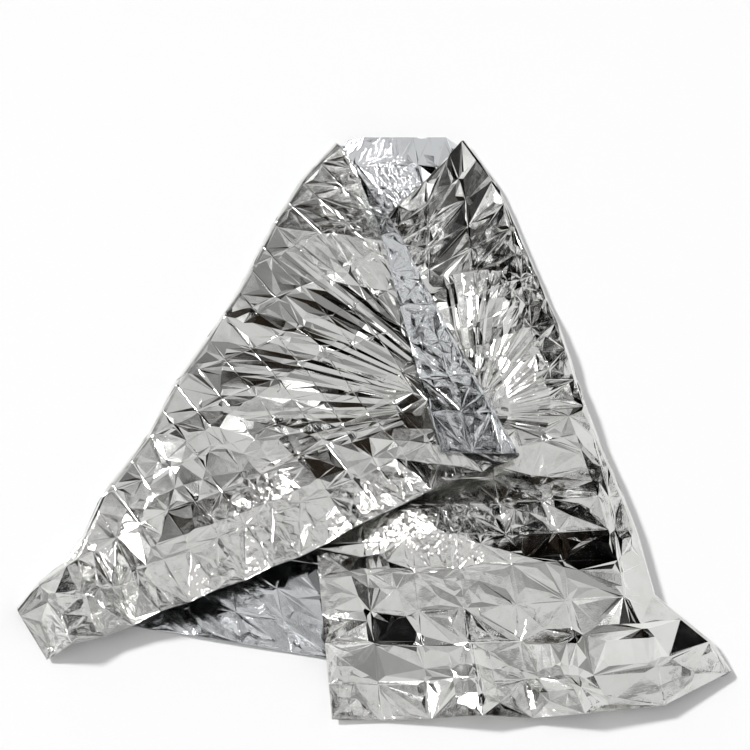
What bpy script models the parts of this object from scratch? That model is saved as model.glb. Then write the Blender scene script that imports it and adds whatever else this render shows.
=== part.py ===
"""Emergency foil blanket: one sheet of metallised film, worn as a cape and then slipped off onto the floor.

The sheet is a plain rectangle with a crease at every fold of its pocket-sized pack. Its middle lies flat as
the back of the cape. The left and right parts are folded over the back, the left one on top, and are gathered
at the clasp, one point at the front. The top edge of the left part is turned outwards as a lapel.

A place on the sheet has flat coordinates: u runs along the hem, 0 at its middle, and v runs from the hem, 0,
up to the neck edge. The laid cape has x along the hem and y from the hem towards the neck, and z is up from
the floor. Every size is in metres.
"""

import math
import bmesh
import bpy
import numpy as np
from mathutils.geometry import delaunay_2d_cdt

# The sheet and its pack creases
SHEET_LENGTH = 2.10   # along the hem
SHEET_HEIGHT = 1.30   # from the hem to the neck edge
PACK_COLUMNS = 22     # pack creases part the sheet into 22 by 20 fields
PACK_ROWS = 20
FOIL = 0.001          # the modelled thickness; the film itself is 12 thousandths of a millimetre

# The place, from the middle of the hem, that becomes the part's origin: under the flat back
ORIGIN_X = -0.18
ORIGIN_Y = 0.55

# The two folds are straight lines on the sheet, round which the left and right parts turn over onto the back.
# The back is gathered at the neck, so there the folds lie nearer each other than on the sheet.
LEFT_HEM_U = -0.88
LEFT_NECK_U = -0.08
LEFT_NECK_X = -0.28
LEFT_ROLL = 0.021     # the radius of the turn, and half the height of the left part over the floor
RIGHT_HEM_U = 0.35
RIGHT_NECK_U = 0.57
RIGHT_NECK_X = -0.01
RIGHT_ROLL = 0.012
# The rows of the right part point this way, in degrees, up to a height on the sheet, and fan out above it
RIGHT_ROW_ANGLE = 190.4
RIGHT_EDGE_ANGLE = 232.0
FAN_START = 0.60
# The lapel: from where on the neck edge to where on the left side edge the sheet is turned outwards
LAPEL_START = (-0.15, 1.30)
LAPEL_END = (-1.05, 1.12)
LAPEL_ROLL = 0.009
LAPEL_STEP = 0.045    # the length of the facets round its fold

# How far in from either silhouette the puffs of the cape reach their full height
PUFF_MARGIN = 0.13
# The long soft ridges of the two front parts
RIDGES = [
    # from x, from y, to x,  to y,  height, half_width
    (-0.08, 0.50, -0.66, 0.15, 0.034, 0.11),   # along the lower edge of the left part
    (-0.30, 0.70, -0.66, 0.36, 0.018, 0.16),   # left hip
    (-0.18, 0.97, -0.42, 1.00, 0.020, 0.12),   # left shoulder
    (-0.10, 0.27, 0.25, 0.20, 0.058, 0.20),    # across the right part
    (0.03, 0.93, 0.12, 0.66, 0.028, 0.08),     # right shoulder
    (-0.27, 0.17, -0.20, -0.02, 0.022, 0.08),  # inner corner of the right part
]
# The short ridges where the hems have crumpled against the floor
CRUMPLES = [
    # from x, from y, to x,  to y,  height, half_width
    (-0.85, 0.06, -0.78, -0.10, 0.034, 0.050),
    (-0.78, 0.10, -0.70, -0.08, 0.022, 0.040),
    (-0.70, 0.10, -0.61, -0.06, 0.026, 0.035),
    (-0.04, 0.05, -0.02, -0.07, 0.018, 0.040),
    (0.13, 0.05, 0.17, -0.05, 0.022, 0.045),
    (0.27, 0.06, 0.33, -0.03, 0.014, 0.035),
    (0.12, 0.72, 0.27, 0.06, 0.024, 0.09),     # the edge where the front of the cape turned to its side
]
# How far the silhouettes stand out from their straight fold lines
WOBBLES = {
    # distance from the hem: outward offset
    "left": {0.0: 0.014, 0.14: -0.020, 0.30: 0.008, 0.47: -0.002, 0.62: 0.016, 0.86: 0.010, 1.10: 0.032,
             1.27: 0.034, 1.40: 0.010, 1.46: 0.0},
    "right": {0.0: 0.105, 0.09: 0.088, 0.19: 0.026, 0.36: 0.044, 0.58: 0.034, 0.80: 0.046, 1.05: 0.040,
              1.20: 0.036, 1.30: 0.010, 1.35: 0.0},
}
WOBBLE_MARGIN = 0.20
HEM_SWING = 0.17      # the slope at which the hem lies swung round, back on the left and forward on the right
TRAIN_START = 0.30    # from this far right the hem turns back again, at this slope
TRAIN_SWING = 0.45

# The clasp, and the narrow straight pleats that run from it to both shoulders
CLASP = (0.0, 0.575)
PLEAT_HEIGHT = 0.0052
PLEATS = {
    # from and to angle in degrees, full height up to and gone at which distance from the clasp
    "left": (124.0, 204.0, 0.30, 0.58),
    "right": (-32.0, 104.0, 0.20, 0.38),
}
PLEAT_STEP = 6.2      # degrees between one ridge and the next valley
PLEAT_START = 0.055   # how far from the clasp they begin, and where they are first full
PLEAT_FULL = 0.125
PLEATS_OFF_LAPEL = {"left": 0.075, "right": 0.01}

# The relief that the pack creases give the sheet
ROW_RELIEF = 0.0026
NODE_RELIEF = 0.0008
LOOSE_RELIEF = 0.0012
FADE = 0.05           # the width over which relief dies out towards a silhouette or an edge that covers it
PRESSED_SHARE = 0.25  # how much of it is left where the right part lies pressed under the left one
NECK_SHOWS_FROM = 1.10   # from here upwards the back shows at the neck
COLLAR_START = 1.19      # and from here it stands up, by this much at the neck edge
COLLAR_RISE = 0.034
HEM_FALL = (-0.10, 0.05)  # the front parts come down to the floor between these distances from the hem
EDGE_FLUTTER = 0.016  # how far the free edges lift at most, in waves one pack row long
EDGE_MARGIN = 0.07
RANDOM_SEED = 7
SNAP = 0.003          # crease points nearer than this are one point

SILVER = (0.78, 0.78, 0.76, 1.0)

COLUMN = SHEET_LENGTH / PACK_COLUMNS
ROW = SHEET_HEIGHT / PACK_ROWS
random = np.random.default_rng(RANDOM_SEED)
loose_nodes = random.uniform(-1, 1, (PACK_COLUMNS + 1, PACK_ROWS + 1))
loose_fields = random.uniform(-1, 1, (PACK_COLUMNS, PACK_ROWS))
hem_waves = random.uniform(0, 1, PACK_COLUMNS + 1)
left_waves = random.uniform(0, 1, PACK_ROWS + 1)
right_waves = random.uniform(0, 1, PACK_ROWS + 1)
pleat_jitter = random.uniform(-0.3, 0.3, 60)
pleat_depth = random.uniform(0.55, 1.0, 60)


def smooth(low, high, x):
    """0 below low, 1 above high, and an S-shaped step between them."""
    share = np.clip((np.asarray(x, float) - low) / (high - low), 0, 1)
    return share * share * (3 - 2 * share)


class Line:
    """A straight line over the sheet or the floor, with the coordinates along it and across it."""

    def __init__(self, start, end, outward):
        self.start = np.array(start, float)
        self.length = math.dist(start, end)
        self.ahead = (np.array(end, float) - self.start) / self.length
        side = np.array((self.ahead[1], -self.ahead[0]))
        self.outward = side if side @ np.array(outward) > 0 else -side

    def coordinates(self, x, y):
        dx, dy = x - self.start[0], y - self.start[1]
        return (dx * self.ahead[0] + dy * self.ahead[1], dx * self.outward[0] + dy * self.outward[1])

    def place(self, along, across):
        return (self.start[0] + along * self.ahead[0] + across * self.outward[0],
                self.start[1] + along * self.ahead[1] + across * self.outward[1])


LEFT_FLAT = Line((LEFT_HEM_U, 0), (LEFT_NECK_U, SHEET_HEIGHT), outward=(-1, 0))
LEFT_LAID = Line((LEFT_HEM_U, 0), (LEFT_NECK_X, SHEET_HEIGHT), outward=(-1, 0))
RIGHT_FLAT = Line((RIGHT_HEM_U, 0), (RIGHT_NECK_U, SHEET_HEIGHT), outward=(1, 0))
RIGHT_LAID = Line((RIGHT_HEM_U, 0), (RIGHT_NECK_X, SHEET_HEIGHT), outward=(1, 0))
LAPEL = Line(LAPEL_START, LAPEL_END, outward=(0, 1))


def at_row(hem, neck, v):
    """A value that runs evenly from the hem to the neck edge, at the row v."""
    return hem + (neck - hem) * v / SHEET_HEIGHT


def turn_over(distance, roll):
    """How far past a fold line the sheet reaches once it turns over it, and how far over it is, 0 to 1."""
    angle = np.clip(distance / roll, 0, math.pi)
    reach = np.where(distance < 0, distance, roll * np.sin(angle)) - np.maximum(distance - math.pi * roll, 0)
    return reach, (1 - np.cos(angle)) / 2


def lay_left(u, v):
    """Where the left part lies: mirrored over its fold line."""
    along, across = LEFT_FLAT.coordinates(u, v)
    reach, turned = turn_over(across, LEFT_ROLL)
    return *LEFT_LAID.place(along * LEFT_LAID.length / LEFT_FLAT.length, reach), turned


LAPEL_LAID = Line(lay_left(*LAPEL_START)[:2], lay_left(*LAPEL_END)[:2], outward=(1, 0))


def row_direction(v):
    """The direction in which a row of the right part runs on the floor, from its fold to its free edge."""
    fan = np.clip((v - FAN_START) / (SHEET_HEIGHT - FAN_START), 0, 1)
    angle = np.radians(RIGHT_ROW_ANGLE + (RIGHT_EDGE_ANGLE - RIGHT_ROW_ANGLE) * fan)
    return np.cos(angle), np.sin(angle)


def lay_right(u, v):
    """Where the right part lies: its rows start at the fold, and the upper ones fan down to the clasp."""
    across = (u - at_row(RIGHT_HEM_U, RIGHT_NECK_U, v)) * RIGHT_FLAT.outward[0]
    reach, turned = turn_over(across, RIGHT_ROLL)
    past = np.maximum(across - math.pi * RIGHT_ROLL, 0) / RIGHT_FLAT.outward[0]
    fold_x, fold_y = RIGHT_LAID.place(at_row(0, RIGHT_LAID.length, v), np.maximum(reach, 0))
    run_x, run_y = row_direction(v)
    return fold_x + past * run_x, fold_y + past * run_y, turned


def lay_back(u, v):
    """Where the back lies: flat, and gathered sideways towards the neck."""
    left_u = at_row(LEFT_HEM_U, LEFT_NECK_U, v)
    left_x = at_row(LEFT_HEM_U, LEFT_NECK_X, v)
    right_u = at_row(RIGHT_HEM_U, RIGHT_NECK_U, v)
    right_x = at_row(RIGHT_HEM_U, RIGHT_NECK_X, v)
    return left_x + (u - left_u) / (right_u - left_u) * (right_x - left_x), v


def pack_relief(u, v):
    """Height of the creased sheet over a flat one: each pack field is a shallow pyramid of four facets."""
    column = np.clip(((u + SHEET_LENGTH / 2) / COLUMN).astype(int), 0, PACK_COLUMNS - 1)
    row = np.clip((v / ROW).astype(int), 0, PACK_ROWS - 1)
    from_u = (u + SHEET_LENGTH / 2) / COLUMN - column - 0.5
    from_v = v / ROW - row - 0.5
    rim = np.maximum(2 * np.maximum(abs(from_u), abs(from_v)), 1e-6)
    side_u, side_v = 0.5 + from_u / rim, 0.5 + from_v / rim

    def node(i, j):
        return (ROW_RELIEF * (-1.0) ** j + NODE_RELIEF * (-1.0) ** (i + j) + LOOSE_RELIEF * loose_nodes[i, j])

    lower = node(column, row) * (1 - side_u) + node(column + 1, row) * side_u
    upper = node(column, row + 1) * (1 - side_u) + node(column + 1, row + 1) * side_u
    border = lower * (1 - side_v) + upper * side_v
    return rim * border + (1 - rim) * LOOSE_RELIEF * 1.4 * loose_fields[column, row]


def edge_flutter(u, v):
    """How far the sheet lifts near its hem and its two side edges."""
    half = SHEET_LENGTH / 2
    columns = np.linspace(-half, half, PACK_COLUMNS + 1)
    rows = np.linspace(0, SHEET_HEIGHT, PACK_ROWS + 1)
    height = np.zeros_like(u)
    for waves, inwards, position, stations in (
            (hem_waves, v, u, columns), (left_waves, u + half, v, rows), (right_waves, half - u, v, rows)):
        lift = EDGE_FLUTTER * np.interp(position, stations, waves)
        height = np.maximum(height, lift * (1 - smooth(0.0, EDGE_MARGIN, inwards)))
    return height


def tent(x, y, ridges):
    """Height of the highest of some ridges, each a tent over a straight line on the floor."""
    height = np.zeros_like(x)
    for from_x, from_y, to_x, to_y, top, half_width in ridges:
        run_x, run_y = to_x - from_x, to_y - from_y
        share = np.clip(((x - from_x) * run_x + (y - from_y) * run_y) / (run_x**2 + run_y**2), 0, 1)
        away = np.hypot(x - from_x - share * run_x, y - from_y - share * run_y)
        height = np.maximum(height, top * np.clip(1 - away / half_width, 0, 1))
    return height


def pleat_angles(side):
    """The angles in degrees of the ridges and valleys on one side of the clasp, and their heights."""
    start, end = PLEATS[side][:2]
    number = np.arange(round((end - start) / PLEAT_STEP) + 1)
    own = number if side == "left" else -1 - number
    angles = start + (end - start) * (number + pleat_jitter[own]) / number[-1]
    heights = (-1.0) ** number * pleat_depth[own]
    heights[[0, -1]] = 0
    return angles, heights


def pleats(x, y, side):
    """Height of the pleats that run from the clasp, on one side of the lapel's fold."""
    away = np.hypot(x - CLASP[0], y - CLASP[1])
    start, end, full_reach, reach = PLEATS[side]
    middle = (start + end) / 2
    angle = (np.degrees(np.arctan2(y - CLASP[1], x - CLASP[0])) - middle + 180) % 360 - 180 + middle
    angles, heights = pleat_angles(side)
    off_lapel = PLEATS_OFF_LAPEL[side]
    clear = smooth(off_lapel - 0.01, 1.5 * off_lapel + 0.02, lapel_side(side, x, y))
    along = smooth(PLEAT_START, PLEAT_FULL, away) * (1 - smooth(full_reach, reach, away))
    return PLEAT_HEIGHT * np.interp(angle, angles, heights) * along * clear


def lay(u, v):
    """Where a place on the sheet ends up: x, y and z of the middle of the film's thickness."""
    relief = pack_relief(u, v)
    along, across = LAPEL.coordinates(u, v)
    flutter = edge_flutter(u, v) * smooth(0.02, 0.02 + 2 * FADE, -across)
    reach, lapel = turn_over(across, LAPEL_ROLL)
    u, v = LAPEL.place(along, reach)
    left_x, left_y, left = lay_left(u, v)
    right_x, right_y, right = lay_right(u, v)
    back_x, back_y = lay_back(u, v)
    x = np.where(left > 0, left_x, np.where(right > 0, right_x, back_x))
    y = np.where(left > 0, left_y, np.where(right > 0, right_y, back_y))

    # Both front parts rise over the back on the same puffs, which end at the silhouettes and at the hems
    inside_left = -LEFT_LAID.coordinates(x, y)[1]
    inside_right = -RIGHT_LAID.coordinates(x, y)[1]
    over_back = smooth(*HEM_FALL, y)
    puff = (tent(x, y, RIDGES) * over_back * smooth(0.0, PUFF_MARGIN, inside_left)
            * smooth(0.0, PUFF_MARGIN, inside_right))
    crumple = tent(x, y, CRUMPLES)
    beside_lapel = LAPEL_LAID.coordinates(x, y)[1]
    loose_left = smooth(0.0, FADE, inside_left)
    loose_right = smooth(0.0, FADE, inside_right)
    below_left = left_edge_y(x) - y
    uncovered = np.maximum(smooth(-0.02, FADE - 0.02, beside_lapel), smooth(-1.5 * FADE, 0.0, below_left))
    showing = PRESSED_SHARE + (1 - PRESSED_SHARE) * uncovered
    left_height = (2 * LEFT_ROLL * over_back + puff + crumple + flutter + pleats(x, y, "left")
                   + relief * loose_left * (1 - 0.5 * lapel) + 2 * LAPEL_ROLL * lapel)
    right_height = (2 * RIGHT_ROLL * over_back + puff + crumple + pleats(x, y, "right")
                    + (relief + flutter) * loose_right * showing)

    # The back is flat where it is hidden, and creased where the bottom opening and the neck show it
    opening = smooth(0.0, FADE, below_left) * loose_left
    neck = smooth(NECK_SHOWS_FROM, NECK_SHOWS_FROM + FADE, y) * loose_left * loose_right
    beyond_edges = smooth(0.0, FADE, beside_lapel) * smooth(0.0, FADE, y - right_edge_y(x))
    collar = COLLAR_RISE * smooth(COLLAR_START, SHEET_HEIGHT, y) * beyond_edges
    back_height = np.maximum(relief * np.maximum(opening, neck), 0) + 0.6 * flutter * opening + collar

    height = np.where(left > 0, left * left_height, np.where(right > 0, right * right_height, back_height))
    z = FOIL / 2 + np.maximum(height, 0)

    # The silhouettes wander off their straight lines, and take the layers near them along
    for line, inside, side in ((LEFT_LAID, inside_left, "left"), (RIGHT_LAID, inside_right, "right")):
        shift = (np.interp(line.coordinates(x, y)[0], list(WOBBLES[side]), list(WOBBLES[side].values()))
                 * (1 - smooth(0.0, WOBBLE_MARGIN, inside)))
        x, y = x + line.outward[0] * shift, y + line.outward[1] * shift
    swing = (HEM_SWING * (x - ORIGIN_X) - TRAIN_SWING * np.maximum(x - TRAIN_START, 0)) * (1 - y / SHEET_HEIGHT)
    return x - ORIGIN_X, y - swing - ORIGIN_Y, z


LEFT_CORNER = lay_left(*LAPEL_END)[:2]
LEFT_TIP = lay_left(-SHEET_LENGTH / 2, 0)[:2]
RIGHT_TOP = lay_right(RIGHT_NECK_U + 0.04, SHEET_HEIGHT)[:2]
RIGHT_TOP_END = lay_right(SHEET_LENGTH / 2, SHEET_HEIGHT)[:2]


def left_edge_y(x):
    """How far up the lower edge of the left part lies at x."""
    slope = (LEFT_CORNER[1] - LEFT_TIP[1]) / (LEFT_CORNER[0] - LEFT_TIP[0])
    return LEFT_TIP[1] + (x - LEFT_TIP[0]) * slope


def right_edge_y(x):
    """How far up the neck edge of the right part lies at x."""
    slope = (RIGHT_TOP[1] - RIGHT_TOP_END[1]) / (RIGHT_TOP[0] - RIGHT_TOP_END[0])
    return RIGHT_TOP[1] + (x - RIGHT_TOP[0]) * slope


def flat_of_right(x, y):
    """The place on the sheet that lies at x, y on the right part, found by halving the span of rows."""
    low, high = 0.0, SHEET_HEIGHT
    for _ in range(40):
        v = (low + high) / 2
        fold = RIGHT_LAID.place(at_row(0, RIGHT_LAID.length, v), 0)
        run_x, run_y = row_direction(v)
        above = (y - fold[1]) * run_x - (x - fold[0]) * run_y < 0
        low, high = (v, high) if above else (low, v)
    fold_u = at_row(RIGHT_HEM_U, RIGHT_NECK_U, v)
    return fold_u + math.pi * RIGHT_ROLL / RIGHT_FLAT.outward[0] + math.dist(fold, (x, y)), v


def flat_of_left(x, y):
    """The place on the sheet that lies at x, y on the left part, past its roll."""
    along, across = LEFT_LAID.coordinates(x, y)
    return LEFT_FLAT.place(along * LEFT_FLAT.length / LEFT_LAID.length, math.pi * LEFT_ROLL - across)


def flat_of_lapel(x, y):
    """The place on the sheet that lies at x, y on the lapel, past its roll."""
    along, across = LAPEL.coordinates(*flat_of_left(x, y))
    return LAPEL.place(along, math.pi * LAPEL_ROLL - across)


FLAT_OF = {"left": flat_of_left, "right": flat_of_right, "lapel": flat_of_lapel}


def crease_lines():
    """Every crease on the flat sheet as a run of points: pack creases, folds, lapel and pleats."""
    half = SHEET_LENGTH / 2
    lines = [[(-half, row * ROW), (half, row * ROW)] for row in range(PACK_ROWS + 1)]
    lines += [[(-half + column * COLUMN, 0), (-half + column * COLUMN, SHEET_HEIGHT)]
              for column in range(PACK_COLUMNS + 1)]
    for line, roll, steps in ((LEFT_FLAT, LEFT_ROLL, 6), (RIGHT_FLAT, RIGHT_ROLL, 5), (LAPEL, LAPEL_ROLL, 4)):
        for step in range(steps + 1):
            across = step / steps * math.pi * roll
            lines.append([line.place(-line.length, across), line.place(2 * line.length, across)])
    for along in np.arange(0, LAPEL.length, LAPEL_STEP):
        lines.append([LAPEL.place(along, 0), LAPEL.place(along, math.pi * LAPEL_ROLL)])
    for side in ("left", "right"):
        for angle in np.radians(pleat_angles(side)[0]):
            ray = [(CLASP[0] + away * math.cos(angle), CLASP[1] + away * math.sin(angle))
                   for away in np.linspace(PLEAT_START, PLEATS[side][3] - 0.04, 5)]
            lines.append([FLAT_OF[side](*point) for point in ray if covers(side, *point)
                          and lapel_side(side, *point) > PLEATS_OFF_LAPEL[side]])
    for side in FLAT_OF:
        for from_x, from_y, to_x, to_y, _, half_width in RIDGES + CRUMPLES:
            crest = Line((from_x, from_y), (to_x, to_y), outward=(1, 0))
            for across in (-half_width, 0, half_width):
                run = [crest.place(along, across) for along in np.linspace(0, crest.length, 5)]
                lines.append([FLAT_OF[side](*point) for point in run if covers(side, *point)])
    return [line for line in lines if len(line) > 1]


def lapel_side(side, x, y):
    """How far a point lies from the lapel's fold, on the side where the left or the right part shows."""
    beside = LAPEL_LAID.coordinates(x, y)[1]
    return beside if side == "right" else -beside


def covers(side, x, y):
    """Whether the left part, the right part or the lapel covers a point, clear of its own edges and folds."""
    fold = RIGHT_LAID if side == "right" else LEFT_LAID
    margin = ROW / 6
    u, v = FLAT_OF[side](x, y)
    on_sheet = abs(u) < SHEET_LENGTH / 2 - margin and margin < v < SHEET_HEIGHT - margin
    off_lapel = side == "right" or lapel_side(side, x, y) > margin
    return on_sheet and off_lapel and -fold.coordinates(x, y)[1] > 3 * margin


def clipped(start, end):
    """The part of a straight run that lies on the sheet, or None."""
    low, high = 0.0, 1.0
    for position, run, least, most in (
            (start[0], end[0] - start[0], -SHEET_LENGTH / 2, SHEET_LENGTH / 2),
            (start[1], end[1] - start[1], 0.0, SHEET_HEIGHT)):
        if abs(run) < 1e-9:
            if not least - 1e-9 <= position <= most + 1e-9:
                return None
            continue
        first, second = sorted(((least - position) / run, (most - position) / run))
        low, high = max(low, first), min(high, second)
    if high - low < 1e-6:
        return None
    return [tuple(s + share * (e - s) for s, e in zip(start, end)) for share in (low, high)]


def flat_pattern():
    """The sheet's triangles in flat coordinates, with an edge along every crease."""
    points, edges = [], []
    for line in crease_lines():
        for start, end in zip(line, line[1:]):
            run = clipped(start, end)
            if run:
                edges.append((len(points), len(points) + 1))
                points += run
    for column in range(PACK_COLUMNS):
        for row in range(PACK_ROWS):
            points.append((-SHEET_LENGTH / 2 + (column + 0.5) * COLUMN, (row + 0.5) * ROW))
    found, _, faces, *_ = delaunay_2d_cdt(points, edges, [], 0, SNAP)
    return np.array([tuple(point) for point in found]), faces


def film_material():
    """Aluminium-coated film: bright silver, nearly a mirror."""
    material = bpy.data.materials.new("silver_film")
    material.use_nodes = True
    surface = material.node_tree.nodes["Principled BSDF"]
    surface.inputs["Base Color"].default_value = SILVER
    surface.inputs["Metallic"].default_value = 1.0
    surface.inputs["Roughness"].default_value = 0.16
    return material


def foil_sheet():
    """The one piece: the sheet's pattern, laid out as the slipped-off cape and given its thickness."""
    flat, faces = flat_pattern()
    places = np.column_stack(lay(flat[:, 0], flat[:, 1]))
    mesh = bpy.data.meshes.new("foil_sheet")
    mesh.from_pydata(places.tolist(), [], [tuple(face) for face in faces])
    body = bmesh.new()
    body.from_mesh(mesh)
    bmesh.ops.recalc_face_normals(body, faces=body.faces)
    body.to_mesh(mesh)
    body.free()
    mesh.materials.append(film_material())
    sheet = bpy.data.objects.new("foil_sheet", mesh)
    bpy.context.collection.objects.link(sheet)
    thickness = sheet.modifiers.new("film thickness", "SOLIDIFY")
    thickness.thickness = FOIL
    thickness.offset = 0
    return sheet


for thing in list(bpy.data.objects):
    bpy.data.objects.remove(thing)
foil_sheet()
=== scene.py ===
# %% [markdown]
# # An emergency foil blanket, slipped off like a cape and folded over on the floor
# The real thing is one rectangle of polyester film with aluminium on it, thinner than a hair. It comes out
# of a pocket-sized pack, so a grid of sharp creases crosses it for good. Here its middle lies flat as the
# back of a cape, its two sides are folded over as the fronts, and a strip of the left one is turned
# outwards as a lapel.
#
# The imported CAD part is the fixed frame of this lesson. It is loaded first, and its box is kept, because
# the finished sheet has to fill the same box.

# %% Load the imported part
import math

import bpy
import numpy as np
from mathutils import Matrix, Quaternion, Vector
from mathutils.bvhtree import BVHTree
from mathutils.geometry import delaunay_2d_cdt


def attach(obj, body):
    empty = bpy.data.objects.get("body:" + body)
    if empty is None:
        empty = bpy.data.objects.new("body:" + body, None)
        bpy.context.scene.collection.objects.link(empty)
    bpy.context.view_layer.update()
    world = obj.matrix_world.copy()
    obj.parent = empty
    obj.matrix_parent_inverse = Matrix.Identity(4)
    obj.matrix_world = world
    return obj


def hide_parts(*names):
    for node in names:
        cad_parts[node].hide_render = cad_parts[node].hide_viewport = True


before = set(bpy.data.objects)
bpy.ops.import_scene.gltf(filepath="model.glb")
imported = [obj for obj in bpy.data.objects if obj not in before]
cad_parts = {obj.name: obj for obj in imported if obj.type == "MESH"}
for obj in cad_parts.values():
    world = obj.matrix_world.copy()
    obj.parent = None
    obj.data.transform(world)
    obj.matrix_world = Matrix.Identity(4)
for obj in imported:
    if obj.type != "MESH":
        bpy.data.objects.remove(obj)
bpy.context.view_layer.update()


def rounded(values, digits=2):
    """Plain rounded numbers, to print."""
    return np.round(np.array(values, float), digits).tolist()


print("The part's nodes:", list(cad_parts))

# %% [markdown]
# ## The flat sheet
# Film can't stretch, so every fold of the laid blanket is a fold of one flat rectangle. It could be
# sculpted where it lies, but then its creases would bend and its area would grow. It is safer to give each
# place flat coordinates, u along the hem and v from the hem to the neck edge, and to work out where that
# place ends up. The random numbers come from a fixed seed and in the CAD part's order, so its pleats and
# its lifted edges are the same here.

# %% Sizes of the sheet and its pack creases
SHEET_LENGTH = 2.10
SHEET_HEIGHT = 1.30
PACK_COLUMNS = 22
PACK_ROWS = 20
COLUMN = SHEET_LENGTH / PACK_COLUMNS
ROW = SHEET_HEIGHT / PACK_ROWS
FOIL = 0.001
HALF_LENGTH = SHEET_LENGTH / 2
ORIGIN_X = -0.18
ORIGIN_Y = 0.55
random = np.random.default_rng(7)
loose_nodes = random.uniform(-1, 1, (PACK_COLUMNS + 1, PACK_ROWS + 1))
loose_fields = random.uniform(-1, 1, (PACK_COLUMNS, PACK_ROWS))
hem_waves = random.uniform(0, 1, PACK_COLUMNS + 1)
left_waves = random.uniform(0, 1, PACK_ROWS + 1)
right_waves = random.uniform(0, 1, PACK_ROWS + 1)
pleat_jitter = random.uniform(-0.3, 0.3, 60)
pleat_depth = random.uniform(0.55, 1.0, 60)
print(f"Pack fields: {PACK_COLUMNS} by {PACK_ROWS}, each {COLUMN * 1000:.0f} by {ROW * 1000:.0f} mm")


def smooth(low, high, x):
    """0 below low, 1 above high, and an S-shaped step between them."""
    share = np.clip((np.asarray(x, float) - low) / (high - low), 0, 1)
    return share * share * (3 - 2 * share)


# %% [markdown]
# ## The straight folds
# The two sides turn over the back round straight lines, and the lapel turns over the left side round a
# third one. A modifier such as Simple Deform could bend a sheet once, but three folds that cross need their
# own sum. A line with coordinates along and across it does for all of them: beyond the line the film runs
# round half a small cylinder and comes back upside down.


# %% A straight line, and the turn round it
class Line:
    """A straight line over the sheet or the floor, with the coordinates along it and across it."""

    def __init__(self, start, end, outward):
        self.start = np.array(start, float)
        self.length = math.dist(start, end)
        self.ahead = (np.array(end, float) - self.start) / self.length
        side = np.array((self.ahead[1], -self.ahead[0]))
        self.outward = side if side @ np.array(outward) > 0 else -side

    def coordinates(self, x, y):
        dx, dy = x - self.start[0], y - self.start[1]
        return (dx * self.ahead[0] + dy * self.ahead[1], dx * self.outward[0] + dy * self.outward[1])

    def place(self, along, across):
        return (self.start[0] + along * self.ahead[0] + across * self.outward[0],
                self.start[1] + along * self.ahead[1] + across * self.outward[1])


def at_row(hem, neck, v):
    """A value that runs evenly from the hem to the neck edge, at the row v."""
    return hem + (neck - hem) * v / SHEET_HEIGHT


def turn_over(distance, roll):
    """How far past a fold line the sheet reaches once it turns over it, and how far over it is, 0 to 1."""
    angle = np.clip(distance / roll, 0, math.pi)
    reach = np.where(distance < 0, distance, roll * np.sin(angle)) - np.maximum(distance - math.pi * roll, 0)
    return reach, (1 - np.cos(angle)) / 2


print("Halfway round a roll of 10 mm, reach and turn:", rounded(turn_over(math.pi * 0.005, 0.010), 3))

# %% [markdown]
# ## Left part, right part and back
# The left part is mirrored over its fold. The rows of the right part start at its fold and run down to the
# left, and the upper ones fan out, because all of them are gathered at one point of the front, the clasp.
# The back is gathered sideways towards the neck, where the two folds lie close together.

# %% Where each part lies
LEFT_HEM_U, LEFT_NECK_U, LEFT_NECK_X, LEFT_ROLL = -0.88, -0.08, -0.28, 0.021
RIGHT_HEM_U, RIGHT_NECK_U, RIGHT_NECK_X, RIGHT_ROLL = 0.35, 0.57, -0.01, 0.012
RIGHT_ROW_ANGLE, RIGHT_EDGE_ANGLE, FAN_START = 190.4, 232.0, 0.60
LAPEL_START, LAPEL_END, LAPEL_ROLL = (-0.15, 1.30), (-1.05, 1.12), 0.009
LEFT_FLAT = Line((LEFT_HEM_U, 0), (LEFT_NECK_U, SHEET_HEIGHT), outward=(-1, 0))
LEFT_LAID = Line((LEFT_HEM_U, 0), (LEFT_NECK_X, SHEET_HEIGHT), outward=(-1, 0))
RIGHT_FLAT = Line((RIGHT_HEM_U, 0), (RIGHT_NECK_U, SHEET_HEIGHT), outward=(1, 0))
RIGHT_LAID = Line((RIGHT_HEM_U, 0), (RIGHT_NECK_X, SHEET_HEIGHT), outward=(1, 0))
LAPEL = Line(LAPEL_START, LAPEL_END, outward=(0, 1))


def lay_left(u, v):
    """Where the left part lies: mirrored over its fold line."""
    along, across = LEFT_FLAT.coordinates(u, v)
    reach, turned = turn_over(across, LEFT_ROLL)
    return *LEFT_LAID.place(along * LEFT_LAID.length / LEFT_FLAT.length, reach), turned


def row_direction(v):
    """The direction in which a row of the right part runs on the floor, from its fold to its free edge."""
    fan = np.clip((v - FAN_START) / (SHEET_HEIGHT - FAN_START), 0, 1)
    angle = np.radians(RIGHT_ROW_ANGLE + (RIGHT_EDGE_ANGLE - RIGHT_ROW_ANGLE) * fan)
    return np.cos(angle), np.sin(angle)


def lay_right(u, v):
    """Where the right part lies: its rows start at the fold, and the upper ones fan down to the clasp."""
    across = (u - at_row(RIGHT_HEM_U, RIGHT_NECK_U, v)) * RIGHT_FLAT.outward[0]
    reach, turned = turn_over(across, RIGHT_ROLL)
    past = np.maximum(across - math.pi * RIGHT_ROLL, 0) / RIGHT_FLAT.outward[0]
    fold_x, fold_y = RIGHT_LAID.place(at_row(0, RIGHT_LAID.length, v), np.maximum(reach, 0))
    run_x, run_y = row_direction(v)
    return fold_x + past * run_x, fold_y + past * run_y, turned


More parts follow.
